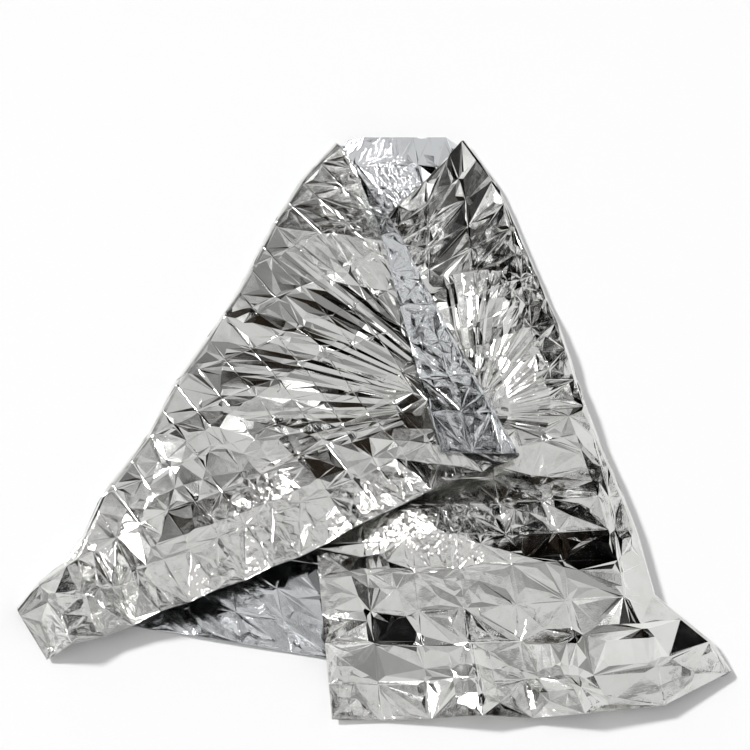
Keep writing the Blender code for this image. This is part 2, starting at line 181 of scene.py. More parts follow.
def lay_back(u, v):
    """Where the back lies: flat, and gathered sideways towards the neck."""
    left_u, left_x = at_row(LEFT_HEM_U, LEFT_NECK_U, v), at_row(LEFT_HEM_U, LEFT_NECK_X, v)
    right_u, right_x = at_row(RIGHT_HEM_U, RIGHT_NECK_U, v), at_row(RIGHT_HEM_U, RIGHT_NECK_X, v)
    return left_x + (u - left_u) / (right_u - left_u) * (right_x - left_x), v


LAPEL_LAID = Line(lay_left(*LAPEL_START)[:2], lay_left(*LAPEL_END)[:2], outward=(1, 0))
print("The lapel's fold on the floor, from", rounded(LAPEL_LAID.start), f"and {LAPEL_LAID.length:.2f} m long")

# %% [markdown]
# ## Relief from the pack
# Film that has been folded both ways never lies flat again: from crease to crease it goes up and down. On
# the left part the creases that stand out are the columns, and everywhere else the rows, most of all low on
# the right part, so the relief is striped that way, with a little chance at every crossing. A displacement
# texture could do this, but it would round off the creases. Heights that are set at the crossings keep them
# sharp. Free edges also lift off in waves.

# %% Pack relief and lifted edges
ROW_RELIEF, RIGHT_ROW_RELIEF, COLUMN_RELIEF, LOOSE_RELIEF = 0.0024, 0.0050, 0.0018, 0.0006
FIELD_RELIEF = 1.4 * LOOSE_RELIEF
EDGE_FLUTTER, EDGE_MARGIN = 0.016, 0.07


def pack_relief(u, v):
    """Height of the creased sheet over a flat one: up and down by creases, and even inside the fields."""
    column = np.clip(((u + HALF_LENGTH) / COLUMN).astype(int), 0, PACK_COLUMNS - 1)
    row = np.clip((v / ROW).astype(int), 0, PACK_ROWS - 1)
    from_u = (u + HALF_LENGTH) / COLUMN - column - 0.5
    from_v = v / ROW - row - 0.5
    rim = np.maximum(2 * np.maximum(abs(from_u), abs(from_v)), 1e-6)
    side_u, side_v = 0.5 + from_u / rim, 0.5 + from_v / rim

    def node(i, j):
        node_u, node_v = i * COLUMN - HALF_LENGTH, j * ROW
        on_left = node_u < at_row(LEFT_HEM_U, LEFT_NECK_U, node_v)
        low_on_right = (node_u > at_row(RIGHT_HEM_U, RIGHT_NECK_U, node_v)) & (node_v < FAN_START)
        row_relief = np.where(low_on_right, RIGHT_ROW_RELIEF, ROW_RELIEF)
        stripes = np.where(on_left, COLUMN_RELIEF * (-1.0) ** i, row_relief * (-1.0) ** j)
        return stripes + LOOSE_RELIEF * loose_nodes[i, j]

    lower = node(column, row) * (1 - side_u) + node(column + 1, row) * side_u
    upper = node(column, row + 1) * (1 - side_u) + node(column + 1, row + 1) * side_u
    border = lower * (1 - side_v) + upper * side_v
    return rim * border + (1 - rim) * FIELD_RELIEF * loose_fields[column, row]


def edge_flutter(u, v):
    """How far the sheet lifts near its hem and its two side edges."""
    columns = np.linspace(-HALF_LENGTH, HALF_LENGTH, PACK_COLUMNS + 1)
    rows = np.linspace(0, SHEET_HEIGHT, PACK_ROWS + 1)
    height = np.zeros_like(u)
    for waves, inwards, position, stations in (
            (hem_waves, v, u, columns), (left_waves, u + HALF_LENGTH, v, rows),
            (right_waves, HALF_LENGTH - u, v, rows)):
        lift = EDGE_FLUTTER * np.interp(position, stations, waves)
        height = np.maximum(height, lift * (1 - smooth(0.0, EDGE_MARGIN, inwards)))
    return height


middle = pack_relief(np.linspace(-1, 1, 200), np.full(200, 0.6))
print(f"Relief along the row at 0.6 m: {1000 * middle.min():.1f} to {1000 * middle.max():.1f} mm")

# %% [markdown]
# ## Ridges, crumples and pleats
# The main folds are set in short tables, each as a tent over a straight line on the floor: long soft
# ridges down both fronts, and short ones where the hems have crumpled. They could be drawn with a
# sculpting brush, but numbers can be kept equal to the CAD part's. The small folds are in the film alone:
# pinches and little peaks that catch the light, too narrow for the CAD part's coarser facets.

# %% The long ridges, the crumpled hems and the small folds
RIDGES = [
    # from x, from y, to x,  to y,  height, half_width
    (-0.08, 0.50, -0.66, 0.15, 0.034, 0.11),   # along the lower edge of the left part
    (-0.30, 0.70, -0.66, 0.36, 0.018, 0.16),   # left side
    (-0.18, 0.97, -0.42, 1.00, 0.020, 0.12),   # left shoulder
    (-0.10, 0.27, 0.25, 0.20, 0.058, 0.20),    # across the right part
    (0.03, 0.93, 0.12, 0.66, 0.028, 0.08),     # right shoulder
    (-0.27, 0.17, -0.20, -0.02, 0.022, 0.08),  # inner corner of the right part
]
CRUMPLES = [
    # from x, from y, to x,  to y,  height, half_width
    (-0.85, 0.06, -0.78, -0.10, 0.034, 0.050),
    (-0.78, 0.10, -0.70, -0.08, 0.022, 0.040),
    (-0.70, 0.10, -0.61, -0.06, 0.026, 0.035),
    (-0.04, 0.05, -0.02, -0.07, 0.018, 0.040),
    (0.13, 0.05, 0.17, -0.05, 0.022, 0.045),
    (0.27, 0.06, 0.33, -0.03, 0.014, 0.035),
    (0.12, 0.72, 0.27, 0.06, 0.024, 0.09),     # the edge where the front of the cape turned to its side
]
SMALL_FOLDS = [
    # from x, from y, to x,  to y,  height, half_width
    (-0.60, 0.765, -0.36, 0.700, 0.009, 0.034),   # the dark streak over the left side
    (-0.38, 0.470, -0.25, 0.420, 0.010, 0.050),   # black hollows above the lower edge
    (-0.18, 0.456, -0.06, 0.460, 0.008, 0.036),
    (-0.42, 0.441, -0.31, 0.315, 0.012, 0.080),   # the large white facet
    (-0.61, 0.417, -0.64, 0.180, 0.008, 0.050),   # left end
    (-0.54, 0.453, -0.42, 0.430, 0.007, 0.040),
    (0.06, 0.340, 0.15, 0.392, 0.007, 0.034),     # crossed pinch on the right part
    (0.06, 0.396, 0.15, 0.336, 0.007, 0.034),
    (0.095, 0.074, 0.155, 0.083, 0.026, 0.034),   # dark peaks on its lower rows
    (0.195, 0.089, 0.255, 0.098, 0.026, 0.034),
    (-0.07, -0.003, -0.02, 0.002, 0.021, 0.026),
    (0.09, -0.006, 0.15, 0.004, 0.024, 0.030),
    (-0.345, 0.012, -0.31, 0.017, 0.020, 0.028),
    (-0.30, -0.045, -0.26, -0.040, 0.026, 0.028),
    (-0.240, 0.176, -0.195, 0.186, 0.020, 0.032),
    (-0.24, 0.235, -0.08, 0.262, 0.012, 0.060),   # the left end of the fold across the right part
]


def tent(x, y, ridges):
    """Height of the highest of some ridges, each a tent over a straight line on the floor."""
    height = np.zeros_like(x)
    for from_x, from_y, to_x, to_y, top, half_width in ridges:
        run_x, run_y = to_x - from_x, to_y - from_y
        share = np.clip(((x - from_x) * run_x + (y - from_y) * run_y) / (run_x**2 + run_y**2), 0, 1)
        away = np.hypot(x - from_x - share * run_x, y - from_y - share * run_y)
        height = np.maximum(height, top * np.clip(1 - away / half_width, 0, 1))
    return height


print(f"Set by hand: {len(RIDGES)} ridges, {len(CRUMPLES)} crumples and {len(SMALL_FOLDS)} small folds")

# %% [markdown]
# ## The fan of pleats
# Where both fronts were held together, the film is gathered into pleats: narrow ridges and valleys that run
# out from one point, the clasp, to both shoulders, and fade there. A wave texture could draw them, but they
# need uneven widths and sharp crests. Each pleat gets its own angle and height, the CAD part's, and two
# narrower folds are set into each of its flanks.

# %% The pleats that fan out from the clasp
CLASP = (0.0, 0.575)
PLEAT_HEIGHT, PLEAT_STEP, PLEAT_START, PLEAT_FULL = 0.0052, 6.2, 0.055, 0.125
PLEATS = {"left": (124.0, 204.0, 0.30, 0.58), "right": (-32.0, 104.0, 0.20, 0.38)}
NARROW_PLEAT = 0.45    # the height of the narrower folds, as a share of the full one
PLEATS_OFF_LAPEL = {"left": 0.075, "right": 0.01}


def lapel_side(side, x, y):
    """How far a point lies from the lapel's fold, on the side where the left or the right part shows."""
    beside = LAPEL_LAID.coordinates(x, y)[1]
    return beside if side == "right" else -beside


def pleat_angles(side):
    """The angles in degrees of the ridges and valleys on one side of the clasp, and their heights."""
    start, end = PLEATS[side][:2]
    number = np.arange(round((end - start) / PLEAT_STEP) + 1)
    own = number if side == "left" else -1 - number
    angles = start + (end - start) * (number + pleat_jitter[own]) / number[-1]
    heights = (-1.0) ** number * pleat_depth[own]
    heights[[0, -1]] = 0
    return angles, heights


def fine_pleats(side):
    """The same with two narrower folds set into each flank: angles and heights of every fold line."""
    angles, heights = pleat_angles(side)
    number = np.arange(3 * len(angles) - 2)
    narrow = np.array((0.0, 1.0, -1.0))[number % 3] * NARROW_PLEAT
    return (np.interp(number / 3, np.arange(len(angles)), angles),
            np.interp(number / 3, np.arange(len(angles)), heights) + narrow)


def pleats(x, y, side):
    """Height of the pleats that run from the clasp, on one side of the lapel's fold."""
    away = np.hypot(x - CLASP[0], y - CLASP[1])
    start, end, full_reach, reach = PLEATS[side]
    opposite = (start + end) / 2 - 180
    angle = (np.degrees(np.arctan2(y - CLASP[1], x - CLASP[0])) - opposite) % 360 + opposite
    angles, heights = fine_pleats(side)
    off_lapel = PLEATS_OFF_LAPEL[side]
    clear = smooth(off_lapel - 0.01, 1.5 * off_lapel + 0.02, lapel_side(side, x, y))
    along = smooth(PLEAT_START, PLEAT_FULL, away) * (1 - smooth(full_reach, reach, away))
    return PLEAT_HEIGHT * np.interp(angle, angles, heights) * along * clear


print("Pleats:", {side: len(pleat_angles(side)[0]) for side in PLEATS})

# %% [markdown]
# ## The whole way from the flat sheet to the floor
# All of it comes together in one function of u and v. The layers lie a little apart, the left part highest,
# the right part under it and the back on the floor, and both fronts ride over the same puffs. The outlines
# wander off their straight fold lines in soft steps, and take the layers near them along.

# %% Lay the sheet
PUFF_MARGIN, WOBBLE_MARGIN, HEM_SWING, TRAIN_START, TRAIN_SWING = 0.13, 0.20, 0.17, 0.30, 0.45
FADE, PRESSED_SHARE, HEM_FALL = 0.05, 0.25, (-0.10, 0.05)
NECK_SHOWS_FROM, COLLAR_START, COLLAR_RISE = 1.10, 1.19, 0.034
WOBBLES = {
    # distance from the hem: outward offset
    "left": {0.0: 0.014, 0.14: -0.020, 0.30: 0.008, 0.47: -0.002, 0.62: 0.016, 0.86: 0.010, 1.10: 0.032,
             1.27: 0.034, 1.40: 0.010, 1.46: 0.0},
    "right": {0.0: 0.105, 0.09: 0.088, 0.19: 0.026, 0.36: 0.044, 0.58: 0.034, 0.80: 0.046, 1.05: 0.040,
              1.20: 0.036, 1.30: 0.010, 1.35: 0.0},
}
LEFT_LOWER_EDGE = lay_left(-HALF_LENGTH, 0)[:2], lay_left(*LAPEL_END)[:2]
RIGHT_NECK_EDGE = lay_right(RIGHT_NECK_U + 0.04, SHEET_HEIGHT)[:2], lay_right(HALF_LENGTH, SHEET_HEIGHT)[:2]


def edge_y(edge, x):
    """How far up a straight edge of the laid sheet lies at x."""
    (from_x, from_y), (to_x, to_y) = edge
    return from_y + (x - from_x) * (to_y - from_y) / (to_x - from_x)


def lay(u, v):
    """Where a place on the sheet ends up: x, y and z of the middle of the film's thickness."""
    relief = pack_relief(u, v)
    along, across = LAPEL.coordinates(u, v)
    flutter = edge_flutter(u, v) * smooth(0.02, 0.02 + 2 * FADE, -across)
    reach, lapel = turn_over(across, LAPEL_ROLL)
    u, v = LAPEL.place(along, reach)
    left_x, left_y, left = lay_left(u, v)
    right_x, right_y, right = lay_right(u, v)
    back_x, back_y = lay_back(u, v)
    x = np.where(left > 0, left_x, np.where(right > 0, right_x, back_x))
    y = np.where(left > 0, left_y, np.where(right > 0, right_y, back_y))

    # Both front parts rise over the back on the same puffs, which end at the silhouettes and at the hems
    inside_left = -LEFT_LAID.coordinates(x, y)[1]
    inside_right = -RIGHT_LAID.coordinates(x, y)[1]
    over_back = smooth(*HEM_FALL, y)
    puff = (tent(x, y, RIDGES) * over_back * smooth(0.0, PUFF_MARGIN, inside_left)
            * smooth(0.0, PUFF_MARGIN, inside_right))
    crumple = tent(x, y, CRUMPLES) + tent(x, y, SMALL_FOLDS) * over_back
    beside_lapel = LAPEL_LAID.coordinates(x, y)[1]
    loose_left = smooth(0.0, FADE, inside_left)
    loose_right = smooth(0.0, FADE, inside_right)
    below_left = edge_y(LEFT_LOWER_EDGE, x) - y
    uncovered = np.maximum(smooth(-0.02, FADE - 0.02, beside_lapel), smooth(-1.5 * FADE, 0.0, below_left))
    showing = PRESSED_SHARE + (1 - PRESSED_SHARE) * uncovered
    left_height = (2 * LEFT_ROLL * over_back + puff + crumple + flutter + pleats(x, y, "left")
                   + relief * loose_left * (1 - 0.5 * lapel) + 2 * LAPEL_ROLL * lapel)
    right_height = (2 * RIGHT_ROLL * over_back + puff + crumple + pleats(x, y, "right")
                    + (relief + flutter) * loose_right * showing)

    # The back is flat where it is hidden, and creased where the bottom opening and the neck show it
    opening = smooth(0.0, FADE, below_left) * loose_left
    neck = smooth(NECK_SHOWS_FROM, NECK_SHOWS_FROM + FADE, y) * loose_left * loose_right
    beyond_edges = smooth(0.0, FADE, beside_lapel) * smooth(0.0, FADE, y - edge_y(RIGHT_NECK_EDGE, x))
    collar = COLLAR_RISE * smooth(COLLAR_START, SHEET_HEIGHT, y) * beyond_edges
    back_height = np.maximum(relief * np.maximum(opening, neck), 0) + 0.6 * flutter * opening + collar

    height = np.where(left > 0, left * left_height, np.where(right > 0, right * right_height, back_height))
    z = FOIL / 2 + np.maximum(height, 0)

    # The silhouettes wander off their straight lines, and take the layers near them along
    for line, inside, side in ((LEFT_LAID, inside_left, "left"), (RIGHT_LAID, inside_right, "right")):
        shift = (np.interp(line.coordinates(x, y)[0], list(WOBBLES[side]), list(WOBBLES[side].values()))
                 * (1 - smooth(0.0, WOBBLE_MARGIN, inside)))
        x, y = x + line.outward[0] * shift, y + line.outward[1] * shift
    swing = HEM_SWING * (x - ORIGIN_X) - TRAIN_SWING * np.maximum(x - TRAIN_START, 0)
    return x - ORIGIN_X, y - swing * (1 - y / SHEET_HEIGHT) - ORIGIN_Y, z


ends = lay(HALF_LENGTH * np.array([-1, 1, 1, -1]), SHEET_HEIGHT * np.array([0, 0, 1, 1]))
print("The sheet's corners on the floor:", rounded(np.column_stack(ends)))

# %% [markdown]
# ## From the floor back to the sheet
# A mesh shows a crease only where an edge runs along it. The pack creases and the fold lines are known on
# the sheet, but the ridges and pleats are known on the floor, so their points have to be traced back. The
# left part and the lapel are mirrored back. The fan of the right part has no such formula, so its row is
# found by halving: is the point above or below the row in the middle of what is left?


# %% Trace a point on the floor back to the sheet
def flat_of_right(x, y):
    """The place on the sheet that lies at x, y on the right part, found by halving the span of rows."""
    low, high = 0.0, SHEET_HEIGHT
    for _ in range(40):
        v = (low + high) / 2
        fold = RIGHT_LAID.place(at_row(0, RIGHT_LAID.length, v), 0)
        run_x, run_y = row_direction(v)
        above = (y - fold[1]) * run_x - (x - fold[0]) * run_y < 0
        low, high = (v, high) if above else (low, v)
    fold_u = at_row(RIGHT_HEM_U, RIGHT_NECK_U, v)
    return fold_u + math.pi * RIGHT_ROLL / RIGHT_FLAT.outward[0] + math.dist(fold, (x, y)), v


def flat_of_left(x, y):
    """The place on the sheet that lies at x, y on the left part, past its roll."""
    along, across = LEFT_LAID.coordinates(x, y)
    return LEFT_FLAT.place(along * LEFT_FLAT.length / LEFT_LAID.length, math.pi * LEFT_ROLL - across)


def flat_of_lapel(x, y):
    """The place on the sheet that lies at x, y on the lapel, past its roll."""
    along, across = LAPEL.coordinates(*flat_of_left(x, y))
    return LAPEL.place(along, math.pi * LAPEL_ROLL - across)


FLAT_OF = {"left": flat_of_left, "right": flat_of_right, "lapel": flat_of_lapel}


def covers(side, x, y):
    """Whether the left part, the right part or the lapel covers a point, clear of its own edges and folds."""
    fold = RIGHT_LAID if side == "right" else LEFT_LAID
    margin = ROW / 6
    u, v = FLAT_OF[side](x, y)
    on_sheet = abs(u) < HALF_LENGTH - margin and margin < v < SHEET_HEIGHT - margin
    off_lapel = side == "right" or lapel_side(side, x, y) > margin
    return on_sheet and off_lapel and -fold.coordinates(x, y)[1] > 3 * margin


print("The clasp on the sheet:", {side: rounded(FLAT_OF[side](*CLASP)) for side in ("left", "right")})

# %% [markdown]
# ## The crease pattern
# All lines that have to be edges of the mesh are gathered on the flat sheet: pack creases, the facets of
# the three rolls, pleats, and the crest and foot of every ridge.

# %% Gather the creases
LAPEL_STEP = 0.045


def crease_lines():
    """Every crease on the flat sheet as a run of points: pack creases, folds, lapel, pleats and ridges."""
    lines = [[(-HALF_LENGTH, row * ROW), (HALF_LENGTH, row * ROW)] for row in range(PACK_ROWS + 1)]
    lines += [[(-HALF_LENGTH + column * COLUMN, 0), (-HALF_LENGTH + column * COLUMN, SHEET_HEIGHT)]
              for column in range(PACK_COLUMNS + 1)]
    rolls = ((LEFT_FLAT, LEFT_ROLL, 12), (RIGHT_FLAT, RIGHT_ROLL, 8), (LAPEL, LAPEL_ROLL, 8))
    for line, roll, steps in rolls:
        for step in range(steps + 1):
            across = step / steps * math.pi * roll
            lines.append([line.place(-line.length, across), line.place(2 * line.length, across)])
    for along in np.arange(0, LAPEL.length, LAPEL_STEP):
        lines.append([LAPEL.place(along, 0), LAPEL.place(along, math.pi * LAPEL_ROLL)])
    for side in ("left", "right"):
        for angle in np.radians(fine_pleats(side)[0]):
            ray = [(CLASP[0] + away * math.cos(angle), CLASP[1] + away * math.sin(angle))
                   for away in np.linspace(PLEAT_START, PLEATS[side][3] - 0.04, 5)]
            lines.append([FLAT_OF[side](*point) for point in ray if covers(side, *point)
                          and lapel_side(side, *point) > PLEATS_OFF_LAPEL[side]])
    for side in FLAT_OF:
        for from_x, from_y, to_x, to_y, _, half_width in RIDGES + CRUMPLES + SMALL_FOLDS:
            crest = Line((from_x, from_y), (to_x, to_y), outward=(1, 0))
            for across in (-half_width, 0, half_width):
                run = [crest.place(along, across) for along in np.linspace(0, crest.length, 5)]
                lines.append([FLAT_OF[side](*point) for point in run if covers(side, *point)])
    return [line for line in lines if len(line) > 1]


def clipped(start, end):
    """The part of a straight run that lies on the sheet, or None."""
    low, high = 0.0, 1.0
    for position, run, least, most in (
            (start[0], end[0] - start[0], -HALF_LENGTH, HALF_LENGTH),
            (start[1], end[1] - start[1], 0.0, SHEET_HEIGHT)):
        if abs(run) < 1e-9:
            if not least - 1e-9 <= position <= most + 1e-9:
                return None
            continue
        first, second = sorted(((least - position) / run, (most - position) / run))
        low, high = max(low, first), min(high, second)
    if high - low < 1e-6:
        return None
    return [tuple(s + share * (e - s) for s, e in zip(start, end)) for share in (low, high)]


creases = [run for line in crease_lines() for pair in zip(line, line[1:]) if (run := clipped(*pair))]
print("Straight creases:", len(creases))

# %% [markdown]
# ## Large flat facets
# Between its creases the film stays flat, so its large facets are true triangles. A finely divided sheet
# laid point by point would bend softly there and shine like oil. So only the corners of the crease pattern
# are laid, as in the CAD part, and everything finer is put onto the flat triangles between them.

# %% Lay the corners of the large facets
FACET_SNAP = 0.003    # corners closer together than this become one

corners, ribs = [], []
for start, end in creases:
    ribs.append((len(corners), len(corners) + 1))
    corners += [start, end]
found, _, large, *_ = delaunay_2d_cdt([Vector(corner) for corner in corners], ribs, [], 0, FACET_SNAP)
large = np.array(large)
large_flat = np.array([tuple(point) for point in found])
large_laid = np.column_stack(lay(*large_flat.T))
print("Large facets:", len(large))

# %% [markdown]
# ## Crinkle
# Handling has crinkled the film between its pack creases, most of all on the lapel, round the clasp, along
# the free edges and where the hem stood on the floor. One map over the sheet, 0 to 1, says how much. It
# sets how close the small facets of the mesh lie, and the film's material reads it too.

# %% How crinkled each place is
patches = np.column_stack((random.uniform(-HALF_LENGTH, HALF_LENGTH, 60), random.uniform(0, SHEET_HEIGHT, 60),
                           random.uniform(0.04, 0.11, 60), random.uniform(0.25, 0.8, 60)))


def crinkle_at(u, v):
    """How crinkled the film is at a place on the sheet, 0 to 1."""
    x, y, _ = lay(u, v)
    x, y = x + ORIGIN_X, y + ORIGIN_Y
    across = LAPEL.coordinates(u, v)[1]
    from_side = u + HALF_LENGTH
    lapel = 0.65 * smooth(-0.10, 0.02, across)
    lower_edge = 0.85 * (1 - smooth(0.02, 0.14, from_side))
    right_free_edge = 0.7 * (1 - smooth(0.01, 0.09, HALF_LENGTH - u))
    hem = 0.6 * (1 - smooth(0.0, 0.09, v))
    foot = 0.9 * (1 - smooth(0.06, 0.20, np.hypot(x + 0.70, (y - 0.03) * 0.8)))
    dark_rows = 0.45 * smooth(-0.20, -0.10, x) * smooth(0.20, 0.26, y) * (1 - smooth(0.40, 0.50, y))
    clasp = 0.8 * (1 - smooth(0.03, 0.08, np.hypot(x - CLASP[0], y - CLASP[1])))
    spots = sum(strength * np.exp(-((u - at_u) ** 2 + (v - at_v) ** 2) / radius**2)
                for at_u, at_v, radius, strength in patches)
    most = np.maximum.reduce((lapel, lower_edge, right_free_edge, hem, foot, dark_rows, clasp, spots))
    return np.clip(most, 0, 1)


sample = random.uniform(0, 1, (2000, 2))
share = crinkle_at(sample[:, 0] * SHEET_LENGTH - HALF_LENGTH, sample[:, 1] * SHEET_HEIGHT)
print(f"Mean crinkle over the sheet: {share.mean():.2f}")

# %% [markdown]
# ## Small facets
# Between the creases, points are strewn at random, each with its own small height, and joined by triangles:
# a crumpled surface of flat facets with sharp edges, as real film has. A noise displacement would give soft
# hills instead. The points lie closer where the film is more crinkled. Round every crossing of two pack
# creases a little star is pinched up, because there the film was folded twice and can't lie flat.

# %% Strew the points and pinch the crossings
FINE_STEP = 0.0055    # the distance of the points where the film is most crinkled
COARSE_STEP = 0.030   # and where it is least crinkled
FACET_SLOPE = (0.016, 0.13)
RIM = 0.004           # no strewn point lies closer than this to the sheet's edge
STAR_REACH = (0.009, 0.021)
STAR_HEIGHT = (0.0004, 0.0013)

grid_u, grid_v = (at.ravel() for at in np.meshgrid(np.arange(-HALF_LENGTH, HALF_LENGTH, FINE_STEP),
                                                   np.arange(0, SHEET_HEIGHT, FINE_STEP)))
strewn = np.column_stack((grid_u, grid_v)) + random.uniform(0, FINE_STEP, (grid_u.size, 2))
crinkle = crinkle_at(strewn[:, 0], strewn[:, 1])
step = COARSE_STEP + (FINE_STEP - COARSE_STEP) * crinkle
from_rim = np.minimum(HALF_LENGTH - abs(strewn[:, 0]),
                      SHEET_HEIGHT / 2 - abs(strewn[:, 1] - SHEET_HEIGHT / 2))
kept = (random.uniform(0, 1, len(strewn)) < (FINE_STEP / step) ** 2) & (from_rim > RIM)
slope = FACET_SLOPE[0] + (FACET_SLOPE[1] - FACET_SLOPE[0]) * crinkle
rise = random.uniform(-1, 1, len(strewn)) * slope * step
points = [(u, v, height) for (u, v), height in zip(strewn[kept], rise[kept])]
edges = []
for start, end in np.unique(np.sort(large[:, [[0, 1], [1, 2], [2, 0]]], axis=2).reshape(-1, 2), axis=0):
    edges.append((int(start) + len(points), int(end) + len(points)))
points += [(u, v, 0.0) for u, v in large_flat]
for column in range(1, PACK_COLUMNS):
    for row in range(1, PACK_ROWS):
        node_u, node_v = -HALF_LENGTH + column * COLUMN, row * ROW
        rays = random.integers(5, 8)
        turn = random.uniform(0, 2 * math.pi)
        for ray in range(rays):
            angle = turn + (ray + random.uniform(-0.25, 0.25)) * 2 * math.pi / rays
            reach = random.uniform(*STAR_REACH)
            edges.append((len(points), len(points) + 1))
            points.append((node_u, node_v, 0.0))
            points.append((node_u + reach * math.cos(angle), node_v + reach * math.sin(angle),
                           (-1) ** ray * random.uniform(*STAR_HEIGHT)))
print("Strewn points:", int(kept.sum()), "all points:", len(points))

# %% [markdown]
# ## From the pattern to the laid film
# A constrained Delaunay triangulation makes one mesh of all that, with an edge along every crease and every
# side of a large facet. Each vertex then finds its own large facet on the flat sheet, and its place there
# as three shares, one for each corner. The same shares of the laid corners say where it lies. Its small
# height lifts it at right angles to that facet, so the large facets stay flat and only the crinkle stands
# out of them.

# %% Triangulate, lay and crumple
SNAP = 0.0015    # points closer together than this become one

places = [Vector(point[:2]) for point in points]
found, _, triangles, origins, *_ = delaunay_2d_cdt(places, edges, [], 0, SNAP)
heights = [max((points[origin][2] for origin in own), key=abs, default=0.0) for own in origins]
pattern = np.array([(*point, height) for point, height in zip(found, heights)])
u, v, small = pattern.T
flat_facets = BVHTree.FromPolygons([(*point, 0.0) for point in large_flat], large.tolist())
own_facet = large[[flat_facets.find_nearest((*place, 0.0))[2] for place in zip(u, v)]]
side_b, side_c = (large_flat[own_facet[:, corner]] - large_flat[own_facet[:, 0]] for corner in (1, 2))
from_a = pattern[:, :2] - large_flat[own_facet[:, 0]]
whole = side_b[:, 0] * side_c[:, 1] - side_b[:, 1] * side_c[:, 0]
share_b = (from_a[:, 0] * side_c[:, 1] - from_a[:, 1] * side_c[:, 0]) / whole
share_c = (side_b[:, 0] * from_a[:, 1] - side_b[:, 1] * from_a[:, 0]) / whole
laid_a, laid_b, laid_c = (large_laid[own_facet[:, corner]] for corner in range(3))
upright = np.cross(laid_b - laid_a, laid_c - laid_a)
upright /= np.linalg.norm(upright, axis=1)[:, None]
laid = (laid_a + (laid_b - laid_a) * share_b[:, None] + (laid_c - laid_a) * share_c[:, None]
        + upright * small[:, None])
laid[:, 2] = np.maximum(laid[:, 2], FOIL / 2)
film = bpy.data.meshes.new("foil_sheet_film")
film.from_pydata(laid.tolist(), [], triangles)
print("Film:", len(film.vertices), "vertices,", len(film.polygons), "triangles")

# %% [markdown]
# ## The piece
# Creases over a few degrees stay sharp, and everything between them is shaded smoothly. An Edge Split
# modifier would do that too, but it would cut the sheet into pieces. Three attributes go along for the
# material: the flat coordinates in metres, the crinkle, and whether the film's inner side is up, as on the
# lapel and the back. Where it is up, the material paints shade with a cool reflected tint into the colour.

# %% Make the film's object
SHARP_CREASE = math.radians(2.5)


# Where this is 1, the film's colour takes painted shade with a cool painted reflection.
def shows_inner_side(u, v):
    """1 on the back and the lapel, whose inner side is up, and 0 on the two fronts."""
    along, across = LAPEL.coordinates(u, v)
    reach, lapel = turn_over(across, LAPEL_ROLL)
    u, v = LAPEL.place(along, reach)
    front = np.maximum(lay_left(u, v)[2], lay_right(u, v)[2]) > 0.5
    return np.where(lapel > 0.5, 1.0, np.where(front, 0.0, 1.0))


film.shade_smooth()
film.set_sharp_from_angle(angle=SHARP_CREASE)
for name, kind, field, values in (
        ("flat", "FLOAT_VECTOR", "vector", np.column_stack((u, v, np.zeros_like(u))).ravel()),
        ("crinkle", "FLOAT", "value", crinkle_at(u, v)),
        ("inner_side", "FLOAT", "value", shows_inner_side(u, v))):
    film.attributes.new(name, kind, "POINT").data.foreach_set(field, values)
foil = bpy.data.objects.new("foil_film", film)
bpy.context.collection.objects.link(foil)
area = sum(polygon.area for polygon in film.polygons)
print(f"Area laid: {area:.2f} of {SHEET_LENGTH * SHEET_HEIGHT:.2f} square metres")

# %% [markdown]
# ## Writing materials as sums
# Blender's materials are node trees. Built by hand they take a line for each node and each link, which
# hides what is going on. Here one class wraps a socket, so that a mask can be written as 1 - mask * 2 and
# the Math nodes appear by themselves. One method adds any other node, from its settings and the values of
# its sockets.


# %% One class for sockets
class Wire:
    """An output socket that can be used in a sum, and from which any other node can be added."""

    def __init__(self, tree, socket=None):
        self.tree, self.socket = tree, socket

    def node(self, kind, settings=None, sockets=None, output=0):
        """A new node with its settings, and then the values or wires of its sockets; gives its output."""
        made = self.tree.nodes.new("ShaderNode" + kind)
        for name, value in (settings or {}).items():
            if name == "stops":
                while len(made.color_ramp.elements) < len(value):
                    made.color_ramp.elements.new(0.5)
                for element, (position, colour) in zip(made.color_ramp.elements, value):
                    element.position, element.color = position, (*colour, 1.0)
            else:
                setattr(made, name, value)
        for name, value in (sockets or {}).items():
            if isinstance(value, Wire):
                self.tree.links.new(value.socket, made.inputs[name])
            else:
                made.inputs[name].default_value = value
        return Wire(self.tree, made.outputs[output])

    def math(self, operation, *values):
        return self.node("Math", {"operation": operation}, dict(enumerate(values)))

    def __add__(self, other):
        return self.math("ADD", self, other)

    def __sub__(self, other):
        return self.math("SUBTRACT", self, other)

    def __rsub__(self, other):
        return self.math("SUBTRACT", other, self)

    def __mul__(self, other):
        return self.math("MULTIPLY", self, other)

    __radd__, __rmul__ = __add__, __mul__

    def step(self, low, high, after=1.0):
        """0 below low, after above high, and an S-shaped step between them."""
        return self.node("MapRange", {"interpolation_type": "SMOOTHSTEP"},
                         {"Value": self, "From Min": low, "From Max": high, "To Max": after})

    def vector(self, operation, *values):
        return self.node("VectorMath", {"operation": operation}, dict(enumerate(values)))

    def scaled(self, factor):
        """This vector or colour times a wire or number."""
        return self.node("VectorMath", {"operation": "SCALE"}, {0: self, "Scale": factor}, "Vector")

    def mix(self, first, second):
        """A colour between two, by this wire from 0 to 1."""
        return self.node("Mix", {"data_type": "RGBA"}, {0: self, 6: first, 7: second}, 2)


def new_material(name):
    """A material with its Principled shader, and a wire to build its node tree with."""
    material = bpy.data.materials.new(name)
    material.use_nodes = True
    return material, material.node_tree.nodes["Principled BSDF"], Wire(material.node_tree)


def plug(surface, name, wire):
    """Links a wire to one of the shader's sockets."""
    wire.tree.links.new(wire.socket, surface.inputs[name])


